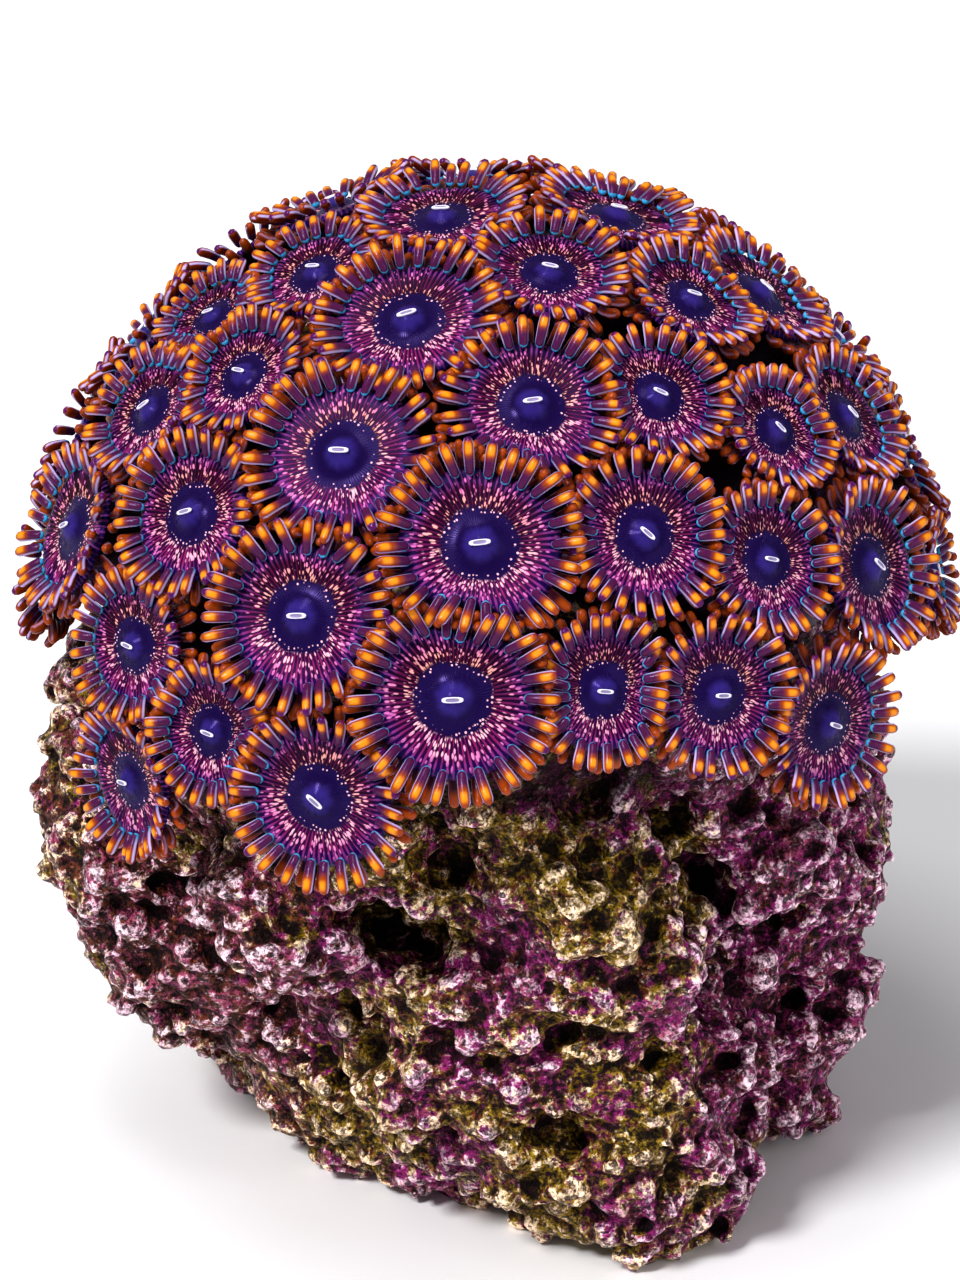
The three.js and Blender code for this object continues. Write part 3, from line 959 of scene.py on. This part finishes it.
def disc_material(settings):
    """Blue-violet mouth cone, dark centre, rays of pink flecks, violet rim and a dull column; painted shade
    on the upper half of each disc, painted light on its lower half, painted light and shade of wrinkles on
    the column, and a faint painted glow.
    """
    s = Shader("oral disc", Specular_Tint=(0.45, 0.32, 1.0, 1), Specular_IOR_Level=0.25)
    x, y, seed = s.parts("disc")
    out = s.math("SQRT", s.more(s.times(x, x), y, y))
    turn = s.math("ARCTAN2", y, x)
    safe = s.math("MAXIMUM", out, 0.001)
    shift = s.times(seed, 91.0)

    def polar(rays, rings):
        """Coordinates whose cells are rays round the disc and rings across it."""
        ray = s.math("DIVIDE", rays / (2 * math.pi), safe)
        parts = {0: s.more(shift, x, ray), 1: s.times(y, ray), 2: s.times(out, rings)}
        return s.add("CombineXYZ", parts).outputs[0]

    uneven = s.noise(polar(14, 3), 1.0, 2)
    edge = s.sway(out, uneven, 0.10)
    # below is 1 on the lower half of each disc and 0 on its upper half: through it the lower half gets
    # painted light (lighter ground, rim and flecks, larger flecks, stronger rays) and the upper half painted
    # shade
    below = s.fall(s.math("DIVIDE", y, safe), -0.9, 0.7)

    rays = s.math("COSINE", s.times(turn, float(settings.rays)))
    wavering = s.sway(rays, s.noise(polar(40, 5), 1.0, 2), 2.6)
    ray = s.step(wavering, -0.2, 0.9)
    size = s.step(s.noise(polar(30, 4), 1.0, 1), 0.30, 0.62, 0.19, 0.41)
    size = s.more(size, s.step(edge, 0.66, 0.90), -0.06)
    size = s.more(size, below, 0.05)
    fleck = s.fall(s.math("SUBTRACT", s.voronoi(polar(104, 8.5), 1.0, 0.85), size), -0.08, 0.08)
    dot_band = s.times(s.step(out, 0.42, 0.45), s.fall(out, 0.51, 0.54))
    dot = s.times(dot_band, s.fall(s.voronoi(polar(48, 14), 1.0, 0.8), 0.20, 0.30))
    streak_band = s.times(s.step(edge, 0.50, 0.57), s.fall(edge, 0.90, 1.04))
    streak = s.times(streak_band, fleck)

    # painted shade on the upper half, painted light on the lower half
    ground = s.mix(below, settings.ground_shaded_above, settings.ground)
    rim = s.mix(below, settings.rim_shaded_above, settings.rim)
    ground = s.mix(s.step(edge, 0.78, 0.98), ground, rim)
    ray_strength = s.times(s.times(streak_band, ray), s.more(0.25, below, 0.5))
    ground = s.mix(ray_strength, ground, settings.ray)
    pink = s.mix(below, settings.fleck_shaded_above, settings.fleck_pale)
    pink = s.mix(s.step(s.more(out, uneven, 0.6), 0.85, 1.20), pink, settings.fleck_deep)
    middle = s.mix(s.step(edge, 0.14, 0.29), settings.cone, settings.centre)
    base = s.mix(s.step(edge, 0.46, 0.56), middle, ground)
    base = s.mix(streak, base, pink)
    base = s.mix(dot, base, settings.fleck_pale)
    rim_ray = s.times(s.step(out, 0.76, 0.92), s.step(wavering, 0.0, 1.0))
    base = s.mix(s.times(rim_ray, 0.6), base, settings.rim_ray)

    # painted light and shade: the column's skin lighter and darker in fine stripes round it, for the light
    # and shade of fine wrinkles
    wrinkle_shading = s.step(s.math("COSINE", s.times(turn, 46.0)), -0.6, 1.0, 0.7, 1.2)
    base = s.mix(s.step(out, 1.07, 1.16), base, s.scale(settings.column, wrinkle_shading))

    lip = s.attribute("lip")
    mouth = s.mix(s.step(lip, 0.66, 0.92), settings.slit, settings.lips)
    base = s.mix(s.math("GREATER_THAN", lip, 0.3), base, mouth)
    normal = s.bump(s.more(streak, ray, 0.4), 0.07)
    # the last number is a faint painted glow of the disc's own colours
    return s.finish(base, normal, s.step(edge, 0.28, 0.50, 0.20, 0.40), 0.04)


def tentacle_material(settings):
    """Plum finger with a bright amber band and a purple tip; a painted highlight on top of the band, painted
    shade on its sides and underside, and a fine pale line of painted rim glow down each side.
    """
    s = Shader("tentacle", Roughness=0.27, Specular_Tint=(0.75, 0.65, 1.0, 1), Specular_IOR_Level=0.3)
    along, side, top = s.parts("finger")
    seed = s.attribute("finger_seed")
    lower = s.math("GREATER_THAN", seed, 1.0)
    chance = s.math("FRACT", s.times(seed, 7.7))

    # painted highlight: the middle of the band, on top of the tentacle, turns lighter and yellower
    from_middle = s.math("ABSOLUTE", s.math("SUBTRACT", along, 0.72))
    middle = s.times(s.step(top, 0.2, 1.0), s.fall(from_middle, 0.04, 0.2))
    band = s.mix(middle, settings.band, settings.band_highlight)
    # painted shade: the band darker where it turns round the tentacle's sides
    band = s.mix(s.step(side, 0.35, 0.95), band, settings.band_edge_shade)
    base = s.mix(s.step(s.sway(along, chance, 0.12), 0.38, 0.60), settings.base, band)
    tipped = s.step(s.more(along, chance, -0.26), 0.78, 0.86)
    base = s.mix(s.times(tipped, s.step(top, -0.3, 0.4)), base, settings.tip)
    # the lower row: orange tips over a dark base, the orange darkened as painted shade beneath the upper row
    orange = s.mix(s.step(along, 0.36, 0.72), settings.under_base, settings.under)
    # painted shade: the lower row darker along its sides
    orange = s.mix(s.step(side, 0.3, 1.0, 0.0, 0.7), orange, settings.band_edge_shade)
    base = s.mix(lower, base, orange)

    # painted rim glow: a pale line down both sides, where the outline lies as seen along the disc's axis, and
    # a cyan one round the lower end; fainter on the lower row
    flank_glow = s.times(s.step(side, 0.78, 0.94), s.step(top, -0.35, 0.0))
    flank_glow = s.times(flank_glow, s.step(along, 0.86, 0.97, 1.0, 0.25))
    foot_glow = s.fall(s.more(along, side, -0.05), 0.02, 0.06)
    line = s.times(s.math("MAXIMUM", flank_glow, foot_glow), s.more(0.9, lower, -0.6))
    rim_glow_colour = s.mix(s.step(along, 0.08, 0.34), settings.rim_glow_base, settings.line)
    base = s.mix(line, base, rim_glow_colour)
    # painted shade: each tentacle darker on its underside, down to 0.7 of its colour
    base = s.scale(base, s.step(top, -0.8, 0.2, 0.70, 1.0))
    # the last number is a faint painted glow of the tentacle's own colours
    return s.finish(base, s.bump(s.noise(s.place(), 5.0, 2), 0.02), None, 0.06)


def rock_material(settings):
    """Coralline crust: purple and mauve, with an olive film, painted highlights on the knob tops and painted
    shade in the hollows.
    """
    s = Shader("reef crust", Specular_IOR_Level=0.3, Specular_Tint=(1.0, 0.85, 0.9, 1))
    place = s.place()
    x, y, z = s.add("SeparateXYZ", {0: place}).outputs
    stands = s.attribute("relief")
    broad = s.attribute("broad_relief")
    patches = s.noise(place, 0.14, 3, 0.6)
    flakes = s.noise(place, 0.5, 4, 0.65)
    grains = s.noise(place, 1.7, 3, 0.7)
    sand = s.noise(place, 4.5, 2, 0.6)

    left = s.fall(x, -17.0, -9.0)
    film = s.sway(s.sway(patches, flakes, 0.55), grains, 0.55)
    film = s.more(film, s.step(x, 10.0, 17.0), -0.10)
    film = s.more(film, s.attribute("film"), 0.16)
    is_film = s.step(film, 0.46, 0.55)
    crust = s.mix(s.step(s.more(flakes, left, 0.16), 0.44, 0.64), settings.purple, settings.mauve)
    crust = s.mix(is_film, crust, settings.olive)
    bare = s.more(s.noise(place, 0.9, 3, 0.65), left, 0.08)
    crust = s.mix(s.step(bare, 0.50, 0.62), crust, settings.brown)

    # painted highlight: pale crust, or cream on the film, on the tops of the knobs and ridges
    painted_highlight = s.mix(is_film, settings.pale, settings.cream)
    tops = s.more(s.sway(stands, grains, 1.5), s.math("MAXIMUM", broad, 0.0), 0.05)
    pale = s.times(s.step(tops, 0.06, 0.40), s.step(patches, 0.30, 0.55, 0.35, 0.95))
    crust = s.mix(pale, crust, painted_highlight)
    grit = s.add("TexVoronoi", {"Vector": place, "Scale": 2.5})
    chance = s.add("SeparateColor", {0: grit.outputs["Color"]}).outputs[0]
    crust = s.scale(crust, s.step(s.more(sand, chance, 0.5), 0.44, 1.06, 0.14, 2.2))
    # painted glints: small pale spots scattered over the crust
    painted_glint = s.times(s.fall(s.voronoi(place, 1.7), 0.12, 0.24), s.step(flakes, 0.46, 0.58))
    crust = s.mix(s.times(painted_glint, 0.75), crust, painted_highlight)

    # painted shade: dark where the skin lies lower than around it, in pits, crevices and broad hollows, and
    # in the band just under the polyps, mixed to the hollow colour
    dark = s.math("MAXIMUM", s.fall(s.sway(stands, grains, 1.0), -0.24, 0.08), s.fall(broad, -1.4, -0.1))
    up = s.add("VectorMath", {0: place, 1: tuple(DOME_CENTRE / MM)}, operation="DISTANCE").outputs["Value"]
    skin = DOME_SKIN / MM
    shaded = s.times(s.step(up, skin - 0.2, skin + 1.2, 0.9, 0.0), s.step(z, 37.0, 44.0))
    dark = s.math("MAXIMUM", dark, shaded)
    crust = s.mix(s.times(dark, 0.95), crust, settings.hollow)

    normal = s.bump(s.more(flakes, grains, 1.2), 0.5)
    normal = s.bump(s.more(sand, grit.outputs["Distance"], -1.0), 0.20, normal)
    gloss = s.more(s.step(sand, 0.4, 0.6, 0.40, 0.16), dark, 0.5)
    return s.finish(crust, normal, gloss)


def backdrop_material(settings):
    s = Shader("backdrop", Roughness=0.9)
    grain = s.noise(s.place(), 0.02, 2)
    return s.finish(s.mix(s.step(grain, 0.3, 0.7, 0.0, 0.04), settings.backdrop, colour(238, 238, 244)))


# Studio


def aim(thing, target):
    thing.rotation_euler = (Vector(target) - thing.location).to_track_quat("-Z", "Y").to_euler()


def softbox(name, place_mm, target, size_mm, power):
    light = bpy.data.lights.new(name, "AREA")
    light.size = size_mm * MM
    light.energy = power
    lamp = make_object(name, light)
    lamp.location = Vector(place_mm) * MM
    aim(lamp, target)


class COLONY_OT_studio(bpy.types.Operator):
    """Sets the colony on a pale floor in soft light, with the camera where the photograph was taken from"""

    bl_idname = "colony.studio"
    bl_label = "Studio"

    def execute(self, context):
        settings = context.scene.colony_studio
        scene = context.scene
        deselect()
        bpy.ops.mesh.primitive_grid_add(x_subdivisions=8, y_subdivisions=8, size=3.0)
        floor = context.object
        floor.name = "floor"
        floor.data.materials.append(backdrop_material(settings))

        eye, target, _, _ = line_of_sight(settings)
        camera = make_object("camera", bpy.data.cameras.new("camera"))
        camera.location = eye
        aim(camera, target)
        camera.data.lens = camera.data.sensor_width * settings.camera_distance / settings.frame_height
        camera.data.clip_start = 0.01
        scene.camera = camera

        sun = bpy.data.lights.new("key", "SUN")
        sun.energy = 2.4
        sun.angle = math.radians(14)
        key = make_object("key", sun)
        key.location = Vector((-230, -260, 420)) * MM
        aim(key, target)
        softbox("fill", (330, -260, 200), target, 260, 0.35)
        softbox("top", (-60, -60, 440), target, 160, 0.6)
        world = bpy.data.worlds.new("studio")
        world.use_nodes = True
        sky = world.node_tree.nodes["Background"]
        sky.inputs["Color"].default_value = (*settings.backdrop, 1)
        sky.inputs["Strength"].default_value = 0.28
        scene.world = world
        scene.view_settings.view_transform = "Standard"
        scene.view_settings.look = "Medium High Contrast"
        return {"FINISHED"}


class COLONY_PT_panel(bpy.types.Panel):
    """Lists the colony's parts and their settings"""

    bl_idname = "COLONY_PT_panel"
    bl_label = "Zoanthid colony"
    bl_space_type = "VIEW_3D"
    bl_region_type = "UI"
    bl_category = "Colony"

    def draw(self, context):
        for name, (group, operator) in PARTS.items():
            box = self.layout.box()
            for key in group.__annotations__:
                box.prop(getattr(context.scene, name), key)
            box.operator(operator.bl_idname)


PARTS = {
    "colony_polyps": (PolypSettings, COLONY_OT_discs),
    "colony_tentacles": (TentacleSettings, COLONY_OT_tentacles),
    "colony_rock": (RockSettings, COLONY_OT_rock),
    "colony_studio": (StudioSettings, COLONY_OT_studio),
}
CLASSES = [*(each for pair in PARTS.values() for each in pair), COLONY_PT_panel]


def register():
    for each in CLASSES:
        bpy.utils.register_class(each)
    for name, (group, _) in PARTS.items():
        setattr(bpy.types.Scene, name, bpy.props.PointerProperty(type=group))


def unregister():
    for name in PARTS:
        delattr(bpy.types.Scene, name)
    for each in reversed(CLASSES):
        bpy.utils.unregister_class(each)


def main():
    register()
    bpy.ops.colony.studio()
    bpy.ops.colony.rock()
    bpy.ops.colony.discs()
    bpy.ops.colony.tentacles()


if __name__ == "__main__":
    main()
